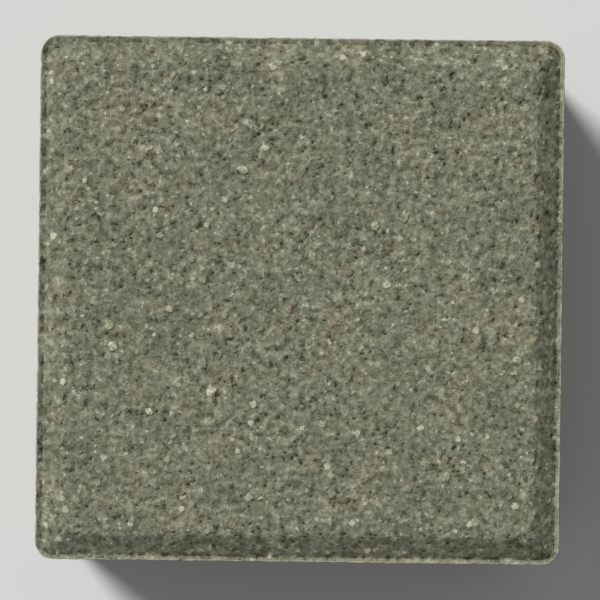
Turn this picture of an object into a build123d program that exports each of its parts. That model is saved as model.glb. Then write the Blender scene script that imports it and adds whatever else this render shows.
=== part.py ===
from build123d import *
import os
from math import radians, tan

# A square paving stone of vibrated concrete, cast in one piece and lying face up.
# Millimetres, +Z up, origin at the middle of the underside.

# The block. Its plan size leaves the joint to the next stone of a 150 mm pattern.
stone_length = 148.0
stone_width = 148.0
stone_height = 60.0
corner_radius = 5.5
underside_round = 0.6

# The slope around the top face, pressed by the shoe that closes the mould.
slope_width = 6.3
slope_angle = 30.0
face_corner_radius = 1.0
arris_radius = 2.0

# The narrow rim of mortar squeezed up between the shoe and the mould's wall.
rim_width = 1.65
rim_angle = 22.0
rim_round = 0.45

# The spacer nibs that keep the joint open, two on every side, from the underside up.
nib_projection = 1.5
nib_root_width = 11.0
nib_crown_width = 7.0
nib_below_top = 16.0
nib_lead_in = 5.0
nib_from_left_corner = 28.0
nib_from_right_corner = 46.0

# The least radius of a corner that is drawn inwards, and the share of its wall
# that a rounded edge may take up.
least_radius = 0.4
fillet_share = 0.9

# Levels and radii that follow from the sizes above.
foot_level = stone_height - slope_width * tan(radians(slope_angle))
crest_level = foot_level + rim_width * tan(radians(rim_angle))
foot_radius = max(corner_radius - rim_width, least_radius)
widest_arris = fillet_share * face_corner_radius / tan(radians(slope_angle / 2))


def plan_outline(inset, radius, level):
    """A rounded rectangle at one level, drawn inwards from the sides of the block."""
    length = stone_length - 2 * inset
    width = stone_width - 2 * inset
    return Pos(0, 0, level) * RectangleRounded(length, width, radius)


def block():
    """The upright block, from the underside to the foot of the slope."""
    return extrude(plan_outline(0, corner_radius, 0), foot_level)


def rim():
    """The ring on the block's edge, its inner flank falling to the foot of the slope."""
    ring = extrude(plan_outline(0, corner_radius, foot_level), crest_level - foot_level)
    foot = plan_outline(rim_width, foot_radius, foot_level)
    mouth = plan_outline(0, corner_radius, crest_level)
    return ring - loft([foot, mouth], ruled=True)


def head():
    """The raised head: four slopes that meet in mitres and carry the top face."""
    foot = plan_outline(rim_width, foot_radius, foot_level)
    face = plan_outline(rim_width + slope_width, face_corner_radius, stone_height)
    return loft([foot, face], ruled=True)


def spacer_nib():
    """One nib on the plane y = 0, facing -Y: flared flanks and a sloping upper end."""
    tall = stone_height - nib_below_top
    crown_tall = tall - nib_lead_in
    side = Plane(origin=(0, 0, 0), x_dir=(1, 0, 0), z_dir=(0, -1, 0))
    root = side * Pos(0, tall / 2) * Rectangle(nib_root_width, tall)
    crown = side.offset(nib_projection) * Pos(0, crown_tall / 2) * Rectangle(nib_crown_width, crown_tall)
    # The root goes in past the rounded lower edge of the block, so that nothing is open behind it.
    return loft([root, crown], ruled=True) + extrude(root, -2 * underside_round)


def spacer_nibs():
    """The nibs of all four sides. Their unequal places let the nibs of a neighbour pass beside them."""
    nibs = []
    for quarter in range(4):
        on_a_long_side = quarter % 2 == 0
        along = stone_length if on_a_long_side else stone_width
        across = stone_width if on_a_long_side else stone_length
        left = nib_from_left_corner - along / 2
        right = along / 2 - nib_from_right_corner
        for place in (left, right):
            nibs.append(Rot(0, 0, 90 * quarter) * Pos(place, -across / 2, 0) * spacer_nib())
    return nibs


def edges_around(solid, level, inset):
    """The edges that run around the stone at one level, that far in from its sides."""
    near = 1e-3
    half_length = stone_length / 2 - inset
    half_width = stone_width / 2 - inset
    found = []
    for edge in solid.edges():
        box = edge.bounding_box()
        level_edge = abs(box.min.Z - level) < near and abs(box.max.Z - level) < near
        reach_x = max(abs(box.min.X), abs(box.max.X))
        reach_y = max(abs(box.min.Y), abs(box.max.Y))
        if level_edge and (abs(reach_x - half_length) < near or abs(reach_y - half_width) < near):
            found.append(edge)
    return found


def paving_stone():
    """The whole casting, with its arris, its rim and its lower edge rounded before the nibs go on."""
    stone = block() + rim() + head()
    arris = edges_around(stone, stone_height, rim_width + slope_width)
    stone = fillet(arris, min(arris_radius, widest_arris))
    stone = fillet(edges_around(stone, crest_level, 0), rim_round)
    stone = fillet(edges_around(stone, 0, 0), underside_round)
    return stone + spacer_nibs()


os.makedirs("parts", exist_ok=True)
export_step(paving_stone(), "parts/paving_stone.step")
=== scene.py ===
import math

import bpy
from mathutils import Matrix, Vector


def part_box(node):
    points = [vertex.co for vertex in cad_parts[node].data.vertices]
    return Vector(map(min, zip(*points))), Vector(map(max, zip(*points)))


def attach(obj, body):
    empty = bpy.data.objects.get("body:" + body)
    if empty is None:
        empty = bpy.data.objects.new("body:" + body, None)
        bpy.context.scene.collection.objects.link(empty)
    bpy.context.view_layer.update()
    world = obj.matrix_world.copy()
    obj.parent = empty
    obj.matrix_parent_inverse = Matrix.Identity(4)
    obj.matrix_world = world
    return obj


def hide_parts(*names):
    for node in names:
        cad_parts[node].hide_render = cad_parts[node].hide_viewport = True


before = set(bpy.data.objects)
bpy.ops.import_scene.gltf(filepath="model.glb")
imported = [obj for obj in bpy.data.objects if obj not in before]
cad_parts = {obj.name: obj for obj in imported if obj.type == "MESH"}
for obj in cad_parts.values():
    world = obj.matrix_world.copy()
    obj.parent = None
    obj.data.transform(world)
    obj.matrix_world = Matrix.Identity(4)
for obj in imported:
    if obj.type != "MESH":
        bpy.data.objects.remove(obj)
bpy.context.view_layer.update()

# The paving stone: one block of vibrated concrete, pressed face up in a steel mould. The shoe
# that closes the mould leaves the slope around the top face and squeezes up the thin rim of
# mortar outside it. The mould's walls leave upright drag marks and the spacer nibs.
mm = 0.001
stone_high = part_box("paving_stone")[1]
nib_projection = 1.5 * mm
nib_root_width = 11 * mm
nib_crown_width = 7 * mm
nib_below_top = 16 * mm
nib_top = stone_high[2] - nib_below_top
nib_lead_in = 5 * mm
nib_from_left_corner = 28 * mm
nib_from_right_corner = 46 * mm
half_side = stone_high[0] - nib_projection
corner_radius = 5.5 * mm
slope_width = 6.3 * mm
slope_angle = math.radians(30)
face_corner_radius = 1.0 * mm
arris_radius = 2.0 * mm
rim_width = 1.65 * mm
rim_angle = math.radians(22)
rim_round = 0.45 * mm
crest_width = 0.7 * mm
underside_round = 0.6 * mm
foot_level = stone_high[2] - slope_width * math.tan(slope_angle)

# How finely the skin is divided, and the loops between its rounded edges and its two grids.
face_cells = 216
slope_loops = 10
side_loops = 26
underside_cells = face_cells // 4
face_border = 1.3 * mm
face_border_step = 0.4 * mm
underside_border = 6 * mm
underside_border_step = 3 * mm
underside_step_radius = 2 * mm


def profile_of_the_arris():
    """Places (inset from the side, level) around the rounded edge between face and slope."""
    middle = rim_width + slope_width + arris_radius * math.tan(slope_angle / 2)
    steps = 4
    for step in range(steps + 1):
        turn = slope_angle * step / steps
        level = stone_high[2] - arris_radius * (1 - math.cos(turn))
        yield middle - arris_radius * math.sin(turn), level


def profile_of_the_slope():
    """Places down the slope, from below the arris to just above its foot."""
    start = rim_width + slope_width - arris_radius * math.tan(slope_angle / 2)
    for step in range(1, slope_loops + 1):
        inset = start + (rim_width - start) * step / (slope_loops + 1)
        yield inset, foot_level + (inset - rim_width) * math.tan(slope_angle)


def profile_of_the_rim():
    """Places up the rim's inner flank, from above the valley, and over its rounded crest."""
    for share in (0.25, 0.5):
        inset = rim_width * (1 - share)
        yield inset, foot_level + (rim_width - inset) * math.tan(rim_angle)
    middle = foot_level + (rim_width - rim_round) * math.tan(rim_angle)
    middle -= rim_round / math.cos(rim_angle)
    steps = 5
    for step in range(steps + 1):
        turn = -rim_angle + (math.pi / 2 + rim_angle) * step / steps
        yield rim_round * (1 - math.sin(turn)), middle + rim_round * math.cos(turn)


def radius_at(inset):
    """The outline's corner radius: concentric at the rim, closing to a mitre on the slope."""
    if inset <= rim_width:
        return corner_radius - inset
    share = min((inset - rim_width) / slope_width, 1)
    return (corner_radius - rim_width) * (1 - share) + face_corner_radius * share


def nib_stands_out(along, level):
    """How far a nib stands out of a side, that far from the side's middle and at that level."""
    flank = (nib_root_width - nib_crown_width) / 2
    most = 0
    for middle in (nib_from_left_corner - half_side, half_side - nib_from_right_corner):
        across = (nib_root_width / 2 - abs(along - middle)) / flank
        upward = (nib_top - level) / nib_lead_in
        most = max(most, min(1, across, upward))
    return nib_projection * most


stone_points = []
stone_faces = []
zone_names = ("arris", "slope", "valley", "rim", "crest", "side", "underside", "nib")
zones = {name: [] for name in zone_names}


def add_point(x, y, z, zone, on_a_nib=0.0):
    """One point of the stone's skin, marked with the zone that it is in. The face has no mark."""
    stone_points.append((x, y, z))
    for name, marks in zones.items():
        marks.append(1.0 if name == zone else 0.0)
    if zone == "crest":
        zones["rim"][-1] = 1.0
    zones["nib"][-1] = on_a_nib
    return len(stone_points) - 1


def add_loop(inset, level, radius, cells, zone, with_nibs=False):
    """A closed loop of points around the stone, with that many cells to each side."""
    reach = half_side - inset
    straight = reach - radius
    length = 2 * straight + radius * math.pi / 2
    rounding_error = 1e-9
    loop = []
    for quarter in range(4):
        for cell in range(cells):
            along = length * (cell / cells - 0.5)
            beyond = abs(along) - straight
            if beyond > rounding_error:
                turn = beyond / radius
                x = math.copysign(straight + radius * math.sin(turn), along)
                y = -straight - radius * math.cos(turn)
            else:
                x, y = along, -reach
            out = nib_stands_out(x, level) if with_nibs else 0.0
            y -= out
            for quarter_turn in range(quarter):
                x, y = -y, x
            loop.append(add_point(x, y, level, zone, out / nib_projection))
    return loop


def join_loops(first, second):
    """Faces between two loops. The second may have half as many points as the first."""
    count = len(second)
    for at in range(count):
        after = (at + 1) % count
        if len(first) == count:
            stone_faces.append((first[at], second[at], second[after], first[after]))
        else:
            near, between, far = first[2 * at], first[2 * at + 1], first[(2 * at + 2) % len(first)]
            stone_faces.append((near, second[at], between))
            stone_faces.append((between, second[at], second[after]))
            stone_faces.append((between, second[after], far))


def fill_square(loop, cells, level, zone, facing_up):
    """A grid of faces inside a square loop."""
    reach = stone_points[loop[cells]][0]
    grid = {}
    for at in range(cells):
        grid[at, 0] = loop[at]
        grid[cells, at] = loop[cells + at]
        grid[cells - at, cells] = loop[2 * cells + at]
        grid[0, cells - at] = loop[3 * cells + at]
    for row in range(1, cells):
        for column in range(1, cells):
            x = reach * (2 * column / cells - 1)
            y = reach * (2 * row / cells - 1)
            grid[column, row] = add_point(x, y, level, zone)
    for row in range(cells):
        for column in range(cells):
            corners = [grid[column, row], grid[column + 1, row]]
            corners += [grid[column + 1, row + 1], grid[column, row + 1]]
            stone_faces.append(tuple(corners if facing_up else reversed(corners)))


grid_inset = rim_width + slope_width + face_border
loops = [add_loop(grid_inset, stone_high[2], 0, face_cells, "face")]
inset = grid_inset - face_border_step
loops.append(add_loop(inset, stone_high[2], face_border_step, face_cells, "face"))
for inset, level in profile_of_the_arris():
    loops.append(add_loop(inset, level, radius_at(inset), face_cells, "arris"))
for inset, level in profile_of_the_slope():
    loops.append(add_loop(inset, level, radius_at(inset), face_cells, "slope"))
loops.append(add_loop(rim_width, foot_level, radius_at(rim_width), face_cells, "valley"))
for inset, level in profile_of_the_rim():
    part_of_rim = "crest" if inset < crest_width else "rim"
    loops.append(add_loop(inset, level, radius_at(inset), face_cells, part_of_rim))
side_top = stone_points[loops[-1][0]][2]
for step in range(1, side_loops + 1):
    level = side_top + (underside_round - side_top) * step / side_loops
    loops.append(add_loop(0, level, corner_radius, face_cells, "side", with_nibs=True))
for degrees in (30, 60, 90):
    inset = underside_round * (1 - math.cos(math.radians(degrees)))
    level = underside_round * (1 - math.sin(math.radians(degrees)))
    radius = radius_at(inset)
    loops.append(add_loop(inset, level, radius, face_cells, "underside", with_nibs=True))
step_cells = 2 * underside_cells
loops.append(add_loop(underside_border_step, 0, underside_step_radius, step_cells, "underside"))
loops.append(add_loop(underside_border, 0, 0, underside_cells, "underside"))
for first, second in zip(loops, loops[1:]):
    join_loops(first, second)
fill_square(loops[0], face_cells, stone_high[2], "face", facing_up=True)
fill_square(loops[-1], underside_cells, 0, "underside", facing_up=False)

stone_mesh = bpy.data.meshes.new("paving_stone_cast")
stone_mesh.from_pydata(stone_points, [], stone_faces)
for name, marks in zones.items():
    stone_mesh.attributes.new(name, "FLOAT", "POINT").data.foreach_set("value", marks)
stone = bpy.data.objects.new("paving_stone_cast", stone_mesh)
bpy.context.collection.objects.link(stone)


def add_node(tree, kind, feeds=None, **settings):
    """A node of a tree. Its inputs are fed by values or by the outputs of other nodes."""
    made = tree.nodes.new(kind)
    for name, value in settings.items():
        setattr(made, name, value)
    for key, value in (feeds or {}).items():
        if isinstance(value, bpy.types.NodeSocket):
            tree.links.new(value, made.inputs[key])
        else:
            made.inputs[key].default_value = value
    return made


def calculate(tree, operation, *values):
    """The outcome of one sum on numbers."""
    feeds = dict(enumerate(values))
    return add_node(tree, "ShaderNodeMath", feeds, operation=operation).outputs[0]


def move_place(tree, operation, *values):
    """The outcome of one sum on places."""
    feeds = dict(enumerate(values))
    return add_node(tree, "ShaderNodeVectorMath", feeds, operation=operation).outputs[0]


def ramp(tree, value, start, end, low=0.0, high=1.0, smooth=True):
    """A number that goes from low to high while the value goes from start to end."""
    feeds = {"Value": value, "From Min": start, "From Max": end, "To Min": low, "To Max": high}
    kind = "SMOOTHSTEP" if smooth else "LINEAR"
    return add_node(tree, "ShaderNodeMapRange", feeds, interpolation_type=kind).outputs[0]


def cloud(tree, place, size, detail=2.0, roughness=0.5):
    """Soft noise around 0.5, with features of that size."""
    feeds = {"Vector": place, "Scale": 1 / size, "Detail": detail, "Roughness": roughness}
    return add_node(tree, "ShaderNodeTexNoise", feeds, noise_dimensions="3D").outputs[0]


def lumps(tree, place, size, seed, measure="CHEBYCHEV"):
    """The lump nearest to a place: how far off its middle is, and its three random numbers.

    The seed shifts the pattern. The turn keeps its cells from lining up with the stone's sides.
    """
    shifted = move_place(tree, "ADD", place, (seed * 0.37, seed * 0.21, seed * 0.13))
    feeds = {"Vector": shifted, "Rotation": (0.6, 0.9, 0.4)}
    turned = add_node(tree, "ShaderNodeVectorRotate", feeds, rotation_type="EULER_XYZ").outputs[0]
    feeds = {"Vector": turned, "Scale": 1 / size}
    found = add_node(tree, "ShaderNodeTexVoronoi", feeds, distance=measure)
    chances = add_node(tree, "ShaderNodeSeparateXYZ", {0: found.outputs["Color"]}).outputs
    return calculate(tree, "MULTIPLY", found.outputs["Distance"], size), chances


def stirred_place(tree, place, size, reach):
    """A place moved about by noise, so that what is found there has no even outline."""
    noise = cloud(tree, place, size).node.outputs["Color"]
    moved = move_place(tree, "SUBTRACT", noise, (0.5, 0.5, 0.5))
    return move_place(tree, "MULTIPLY_ADD", moved, (reach, reach, reach), place)


# The sizes of what is in the mix: the uneven crust of the paste, the pores in it, and the grains,
# which lie about one spacing apart. The largest reach that far from their middles.
crust_size = 2.4 * mm
pore_size = 0.9 * mm
sand_spacing = 1.1 * mm
sand_reach = 0.52 * mm
grit_spacing = 2.7 * mm
grit_reach = 1.2 * mm
pebble_spacing = 5 * mm
pebble_reach = 1.6 * mm


def concrete_at(tree, place, zone):
    """What the mix holds at a place. The relief and the colour are both made from it."""
    near = stirred_place(tree, place, 1.0 * mm, 1.5 * mm)
    far = stirred_place(tree, place, 1.8 * mm, 1.8 * mm)
    mix = {}

    # The paste has an uneven crust, drawn upright on the sides, and pores where it is lowest.
    crust = cloud(tree, place, crust_size, 4.0, 0.72)
    broad = calculate(tree, "SUBTRACT", cloud(tree, place, 7 * mm, 2.0), 0.5)
    crust = calculate(tree, "MULTIPLY_ADD", broad, 0.14, crust)
    dragged = cloud(tree, move_place(tree, "MULTIPLY", place, (1, 1, 0.3)), 2.2 * mm, 5.0, 0.68)
    change = calculate(tree, "MULTIPLY", calculate(tree, "SUBTRACT", dragged, crust), 0.6)
    mix["crust"] = calculate(tree, "MULTIPLY_ADD", change, zone["side"], crust)
    pit = calculate(tree, "MULTIPLY_ADD", cloud(tree, place, pore_size, 1.0), 0.8, mix["crust"])
    mix["pore"] = ramp(tree, pit, 0.74, 0.66)

    # The sand is paler where the crust is high.
    sand, chance = lumps(tree, near, sand_spacing, seed=1)
    mix["sand"] = ramp(tree, sand, sand_reach, 0.15 * mm)
    pale = calculate(tree, "MULTIPLY_ADD", mix["crust"], 1.3, -0.53)
    mix["sand tone"] = calculate(tree, "MULTIPLY_ADD", chance[0], 0.86, pale)

    # The grit has one tone to a grain and broken outlines. About half of its lumps hold a grain.
    broken = stirred_place(tree, near, 0.7 * mm, 0.9 * mm)
    grit, chance = lumps(tree, broken, grit_spacing, seed=4, measure="EUCLIDEAN")
    reach = ramp(tree, chance[0], 0.55, 1.0, 0.0, grit_reach, smooth=False)
    mix["grit"] = ramp(tree, calculate(tree, "SUBTRACT", grit, reach), 0.12 * mm, -0.25 * mm)
    mix["grit tone"] = calculate(tree, "MULTIPLY_ADD", chance[1], 0.9, 0.12)

    # The pebbles are larger and smoother. The thin rim has no room for them.
    pebble, chance = lumps(tree, far, pebble_spacing, seed=2, measure="EUCLIDEAN")
    reach = ramp(tree, chance[0], 0.38, 1.0, 0.2 * mm, pebble_reach, smooth=False)
    edge = calculate(tree, "SUBTRACT", pebble, reach)
    edge = calculate(tree, "MULTIPLY_ADD", zone["rim"], pebble_spacing, edge)
    mix["pebble"] = ramp(tree, edge, 0.15 * mm, -0.3 * mm)
    around = ramp(tree, edge, 0.4 * mm, 0.1 * mm)
    mix["pebble gap"] = calculate(tree, "SUBTRACT", around, mix["pebble"])
    mix["pebble tone"] = chance[1]
    mix["pebble bare"] = chance[2]

    # Pores are in the paste alone.
    grains = calculate(tree, "MAXIMUM", mix["grit"], mix["pebble"])
    paste = calculate(tree, "SUBTRACT", 1.0, grains)
    mix["pore"] = calculate(tree, "MULTIPLY", mix["pore"], paste)
    return mix


def make_relief():
    """The tree that sinks the plain skin by the relief that its zones have."""
    tree = bpy.data.node_groups.new("relief of the concrete", "GeometryNodeTree")
    sockets = tree.interface
    sockets.new_socket("Geometry", in_out="INPUT", socket_type="NodeSocketGeometry")
    relief_sizes = {
        "Grain Height": 0.12 * mm, "Pebble Height": 0.16 * mm, "Pore Depth": 0.5 * mm,
        "Waviness": 0.16 * mm, "Drag Depth": 0.14 * mm, "Rim Wear": 0.22 * mm,
        "Valley Depth": 0.4 * mm, "Arris Wear": 0.1 * mm,
    }
    for name, size in relief_sizes.items():
        made = sockets.new_socket(name, in_out="INPUT", socket_type="NodeSocketFloat")
        made.default_value = size
    sockets.new_socket("Concrete", in_out="INPUT", socket_type="NodeSocketMaterial")
    sockets.new_socket("Geometry", in_out="OUTPUT", socket_type="NodeSocketGeometry")
    given = add_node(tree, "NodeGroupInput").outputs
    place = add_node(tree, "GeometryNodeInputPosition").outputs[0]
    zone = {}
    for name in zones:
        read = add_node(tree, "GeometryNodeInputNamedAttribute", {"Name": name}, data_type="FLOAT")
        zone[name] = read.outputs["Attribute"]
    mix = concrete_at(tree, place, zone)

    def by_zone(elsewhere, **within):
        """A number that is another one within each zone that is named."""
        total = elsewhere
        for name, value in within.items():
            total = calculate(tree, "MULTIPLY_ADD", zone[name], value - elsewhere, total)
        return total

    rough = by_zone(1.0, slope=0.6, valley=0.6, rim=0.6, underside=1.6)
    porous = by_zone(1.0, slope=0.6, valley=0.8, rim=0.4, side=1.2, underside=1.3)
    crust = calculate(tree, "MULTIPLY_ADD", mix["crust"], 3.0, mix["sand"])
    grain = calculate(tree, "SUBTRACT", crust, 1.5)
    grain = calculate(tree, "MULTIPLY", grain, given["Grain Height"])
    proud = calculate(tree, "SUBTRACT", mix["pebble"], mix["pebble gap"])
    proud = calculate(tree, "MULTIPLY", proud, given["Pebble Height"])
    grain = calculate(tree, "MULTIPLY", calculate(tree, "ADD", grain, proud), rough)
    pore = calculate(tree, "MULTIPLY", mix["pore"], given["Pore Depth"])
    pore = calculate(tree, "MULTIPLY", pore, porous)
    waves = calculate(tree, "SUBTRACT", cloud(tree, place, 9 * mm, 3.0), 0.5)
    waves = calculate(tree, "MULTIPLY", waves, given["Waviness"])
    drawn = move_place(tree, "MULTIPLY", place, (1, 1, 0.07))
    drag = calculate(tree, "SUBTRACT", cloud(tree, drawn, 1.8 * mm, 3.0, 0.6), 0.5)
    drag = calculate(tree, "MULTIPLY", drag, given["Drag Depth"])
    drag = calculate(tree, "MULTIPLY", drag, zone["side"])

    def worn(zone_name, depth_name, size, start, end):
        """How deep a zone is worn, in patches of that size."""
        patches = ramp(tree, cloud(tree, place, size, 3.0, 0.6), start, end)
        depth = calculate(tree, "MULTIPLY", patches, given[depth_name])
        return calculate(tree, "MULTIPLY", depth, zone[zone_name])

    wear = worn("rim", "Rim Wear", 2.2 * mm, 0.45, 0.68)
    wear = calculate(tree, "ADD", wear, worn("valley", "Valley Depth", 3 * mm, 0.46, 0.56))
    wear = calculate(tree, "ADD", wear, worn("arris", "Arris Wear", 4.5 * mm, 0.42, 0.62))
    height = calculate(tree, "ADD", calculate(tree, "ADD", grain, waves), drag)
    height = calculate(tree, "SUBTRACT", calculate(tree, "SUBTRACT", height, pore), wear)

    # The skin is lowered by its highest grains, so that none stands out past the mould.
    highest = calculate(tree, "MULTIPLY_ADD", given["Waviness"], 0.3, given["Grain Height"])
    height = calculate(tree, "SUBTRACT", height, highest)
    height = calculate(tree, "MINIMUM", height, 0.0)
    normal = add_node(tree, "GeometryNodeInputNormal").outputs[0]
    feeds = {0: normal, "Scale": height}
    out = add_node(tree, "ShaderNodeVectorMath", feeds, operation="SCALE").outputs[0]
    feeds = {"Geometry": given["Geometry"], "Name": "cast_place", "Value": place}
    kept = add_node(tree, "GeometryNodeStoreNamedAttribute", feeds, data_type="FLOAT_VECTOR")
    feeds = {"Geometry": kept.outputs[0], "Offset": out}
    sunk = add_node(tree, "GeometryNodeSetPosition", feeds)
    whole = add_node(tree, "GeometryNodeRealizeInstances", {"Geometry": sunk.outputs[0]})
    feeds = {"Geometry": whole.outputs[0], "Material": given["Concrete"]}
    coated = add_node(tree, "GeometryNodeSetMaterial", feeds)
    add_node(tree, "NodeGroupOutput", {"Geometry": coated.outputs[0]})
    return tree


def make_concrete():
    """Grey-green concrete: paste, sand, grit, pebbles, pores, a pale crest and rubbed nibs."""
    material = bpy.data.materials.new("pressed concrete")
    material.use_nodes = True
    tree = material.node_tree
    tree.nodes.clear()
    place = add_node(tree, "ShaderNodeAttribute", attribute_name="cast_place").outputs["Vector"]
    zone = {}
    for name in zones:
        zone[name] = add_node(tree, "ShaderNodeAttribute", attribute_name=name).outputs["Fac"]
    mix = concrete_at(tree, place, zone)

    def blend(amount, first, second, kind="MIX"):
        """Two colours mixed, with that amount of the second."""
        feeds = {"Factor": amount, 6: first, 7: second}
        return add_node(tree, "ShaderNodeMix", feeds, data_type="RGBA", blend_type=kind).outputs[2]

    def tones(value, *stops):
        """The colour for a value, on a scale of (value, colour) stops."""
        node = add_node(tree, "ShaderNodeValToRGB", {"Fac": value})
        row = node.color_ramp.elements
        row[0].position, row[0].color = stops[0][0], (*stops[0][1], 1)
        row[1].position, row[1].color = stops[-1][0], (*stops[-1][1], 1)
        for at, colour in stops[1:-1]:
            row.new(at).color = (*colour, 1)
        return node.outputs["Color"]

    paste = tones(
        ramp(tree, cloud(tree, place, 11 * mm, 3.0), 0.3, 0.7, smooth=False),
        (0.0, (0.151, 0.166, 0.108)), (0.5, (0.179, 0.190, 0.125)), (1.0, (0.213, 0.209, 0.140)),
    )
    sand = tones(
        mix["sand tone"], (0.0, (0.055, 0.058, 0.030)), (0.3, (0.115, 0.124, 0.076)),
        (0.65, (0.190, 0.200, 0.134)), (0.88, (0.325, 0.335, 0.244)), (1.0, (0.620, 0.620, 0.475)),
    )
    grit = tones(
        mix["grit tone"], (0.0, (0.085, 0.083, 0.052)), (0.35, (0.165, 0.162, 0.108)),
        (0.62, (0.300, 0.298, 0.215)), (1.0, (0.700, 0.690, 0.510)),
    )
    pebble = tones(
        mix["pebble tone"], (0.0, (0.125, 0.106, 0.072)), (0.4, (0.240, 0.208, 0.148)),
        (0.6, (0.235, 0.226, 0.160)), (0.86, (0.320, 0.310, 0.215)), (1.0, (0.750, 0.735, 0.510)),
    )
    # The colour of painted shade in the pores, the pebble gaps and the valley pits.
    pore_shade = (0.030, 0.031, 0.014, 1)
    laitance = (0.390, 0.362, 0.272, 1)

    # The paste: brownish in broad patches, and darker and paler as its crust goes down and up.
    rusty = ramp(tree, cloud(tree, place, 6 * mm, 2.0), 0.52, 0.70)
    paste = blend(rusty, paste, blend(1.0, paste, (1.07, 0.99, 0.96, 1), "MULTIPLY"))
    spread = calculate(tree, "MULTIPLY_ADD", zone["side"], -0.32, 0.85)
    tint = calculate(tree, "MULTIPLY", calculate(tree, "SUBTRACT", mix["crust"], 0.5), spread)
    tint = tones(
        calculate(tree, "ADD", tint, 0.5), (0.27, (0.20, 0.20, 0.12)), (0.40, (0.60, 0.60, 0.51)),
        (0.5, (0.98, 0.98, 0.98)), (0.60, (1.54, 1.54, 1.58)), (0.73, (2.8, 2.8, 2.9)),
    )
    colour = blend(1.0, paste, tint, "MULTIPLY")

    # The grains in it, more or less covered by a film of paste.
    sandy = ramp(tree, zone["side"], 0.0, 1.0, 0.65, 0.35, smooth=False)
    colour = blend(calculate(tree, "MULTIPLY", mix["sand"], sandy), colour, sand)
    colour = blend(calculate(tree, "MULTIPLY", mix["grit"], sandy), colour, grit)
    pebble = blend(0.75, pebble, blend(1.0, pebble, tint, "MULTIPLY"))
    bare = ramp(tree, mix["pebble bare"], 0.0, 0.8, 0.15, 0.95)
    bare = calculate(tree, "MULTIPLY", bare, ramp(tree, mix["crust"], 0.35, 0.6, 0.4, 1.0))
    smeared = calculate(tree, "MULTIPLY_ADD", zone["side"], -0.5, 1.0)
    bare = calculate(tree, "MULTIPLY", bare, smeared)
    colour = blend(calculate(tree, "MULTIPLY", mix["pebble"], bare), colour, pebble)

    # Painted shade: the pores, the gaps around the pebbles and the pits in the torn valley are
    # darkened with the shade that falls into these hollows.
    shade = calculate(tree, "MULTIPLY", mix["pebble gap"], calculate(tree, "MULTIPLY", bare, 0.3))
    shade = calculate(tree, "MAXIMUM", shade, calculate(tree, "MULTIPLY", mix["pore"], 0.85))
    colour = blend(shade, colour, pore_shade)
    # Painted shade in the pits that the relief sinks along the valley, where the rim shades them.
    painted_valley_pit_shade = ramp(tree, cloud(tree, place, 3 * mm, 3.0, 0.6), 0.46, 0.56, 0.0, 0.85)
    colour = blend(calculate(tree, "MULTIPLY", zone["valley"], painted_valley_pit_shade), colour, pore_shade)

    # Laitance, the pale milk of the cement, dries on the rim and most of all on its crest. The
    # nibs are as pale where they are rubbed. The slopes are a shade darker than the face.
    film = ramp(tree, cloud(tree, place, 4 * mm, 3.0), 0.35, 0.65, 0.3, 0.8)
    thickness = ramp(tree, cloud(tree, place, 30 * mm, 1.0), 0.4, 0.6, 0.1, 0.55)
    thickness = calculate(tree, "ADD", zone["crest"], thickness)
    film = calculate(tree, "MINIMUM", calculate(tree, "MULTIPLY", film, thickness), 1.0)
    colour = blend(calculate(tree, "MULTIPLY", zone["rim"], film), colour, laitance)
    rubbed = ramp(tree, mix["crust"], 0.42, 0.58, 0.0, 0.5)
    colour = blend(calculate(tree, "MULTIPLY", zone["nib"], rubbed), colour, laitance)
    colour = blend(calculate(tree, "MULTIPLY", zone["slope"], 0.09), colour, (0, 0, 0, 1))

    # The grain that is finer than the mesh.
    fine = cloud(tree, place, 0.5 * mm, 3.0, 0.6)
    bumps = calculate(tree, "MULTIPLY", fine, 0.1)
    bumps = calculate(tree, "MULTIPLY_ADD", mix["crust"], 3.2, bumps)
    bumps = calculate(tree, "MULTIPLY_ADD", mix["sand"], 0.5, bumps)
    bumps = calculate(tree, "MULTIPLY_ADD", mix["pebble"], 1.6, bumps)
    bumps = calculate(tree, "MULTIPLY_ADD", mix["grit"], 1.5, bumps)
    bumps = calculate(tree, "SUBTRACT", bumps, mix["pore"])
    soft = calculate(tree, "SUBTRACT", 1.0, calculate(tree, "MULTIPLY", zone["slope"], 0.55))
    feeds = {"Strength": soft, "Distance": 0.13 * mm, "Height": bumps}
    bump = add_node(tree, "ShaderNodeBump", feeds)
    feeds = {
        "Base Color": colour, "Roughness": ramp(tree, fine, 0.3, 0.7, 0.82, 0.95),
        "Normal": bump.outputs[0], "Specular IOR Level": 0.35,
    }
    shader = add_node(tree, "ShaderNodeBsdfPrincipled", feeds)
    add_node(tree, "ShaderNodeOutputMaterial", {"Surface": shader.outputs[0]})
    return material


relief = stone.modifiers.new("relief", "NODES")
relief.node_group = make_relief()
concrete_socket = relief.node_group.interface.items_tree["Concrete"].identifier
relief[concrete_socket] = make_concrete()
depsgraph = bpy.context.evaluated_depsgraph_get()
finished = bpy.data.meshes.new_from_object(
    stone.evaluated_get(depsgraph), preserve_all_data_layers=True, depsgraph=depsgraph
)
stone.modifiers.clear()
stone.data = finished
finished.shade_smooth()
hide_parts("paving_stone")
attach(stone, "root")
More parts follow.
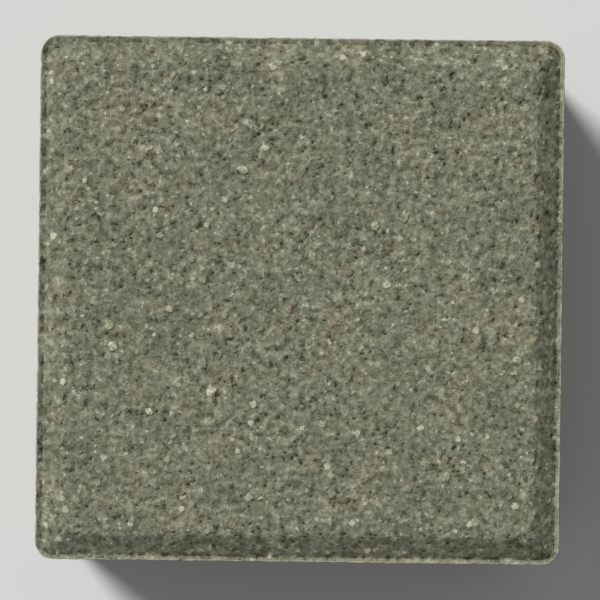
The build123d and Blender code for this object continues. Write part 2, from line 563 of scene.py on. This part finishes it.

# The floor that the stone lies on: a wide sheet of pale card. It is not part of the object.
floor_reach = 3.0
floor_corners = [
    (-floor_reach, -floor_reach, 0), (floor_reach, -floor_reach, 0),
    (floor_reach, floor_reach, 0), (-floor_reach, floor_reach, 0),
]
floor_mesh = bpy.data.meshes.new("floor")
floor_mesh.from_pydata(floor_corners, [], [(0, 1, 2, 3)])
floor = bpy.data.objects.new("floor", floor_mesh)
bpy.context.collection.objects.link(floor)
card = bpy.data.materials.new("pale card")
card.use_nodes = True
card_shader = card.node_tree.nodes["Principled BSDF"]
card_shader.inputs["Base Color"].default_value = (0.70, 0.70, 0.68, 1)
card_shader.inputs["Roughness"].default_value = 0.9
floor_mesh.materials.append(card)

# The light: one soft lamp from the upper left, as the day falls on the stone in the photograph,
# and an even pale sky that fills the shadows. The camera sees that sky brighter than it lights.
lamp_data = bpy.data.lights.new("window", "SUN")
lamp_data.angle = math.radians(16)
lamp_data.energy = 3.53
lamp = bpy.data.objects.new("window", lamp_data)
towards_lamp = (-0.84, 0.87, 1.0)
lamp.rotation_euler = (
    math.atan2(math.hypot(towards_lamp[0], towards_lamp[1]), towards_lamp[2]), 0,
    math.atan2(towards_lamp[0], -towards_lamp[1]),
)
bpy.context.collection.objects.link(lamp)
world = bpy.data.worlds.new("sky")
world.use_nodes = True
sky = world.node_tree.nodes["Background"]
sky.inputs["Color"].default_value = (0.95, 0.97, 1.0, 1)
seen = add_node(world.node_tree, "ShaderNodeLightPath").outputs["Is Camera Ray"]
sky_light = 0.25
sky_seen = 0.75
strength = calculate(world.node_tree, "MULTIPLY_ADD", seen, sky_seen - sky_light, sky_light)
world.node_tree.links.new(strength, sky.inputs["Strength"])
bpy.context.scene.world = world

# The camera looks straight down on the stone, turned by the slight tilt that the photograph has.
# Its picture is a little wider than the stone.
camera_data = bpy.data.cameras.new("camera")
camera = bpy.data.objects.new("camera", camera_data)
camera_height = 0.62
picture_width = 0.168
picture_tilt = math.radians(0.7)
camera.location = (0, 0, stone_high[2] + camera_height)
camera.rotation_euler = (0, 0, picture_tilt)
camera_data.lens = camera_data.sensor_width * camera_height / picture_width
bpy.context.collection.objects.link(camera)
bpy.context.scene.camera = camera
bpy.context.scene.view_settings.view_transform = "Standard"
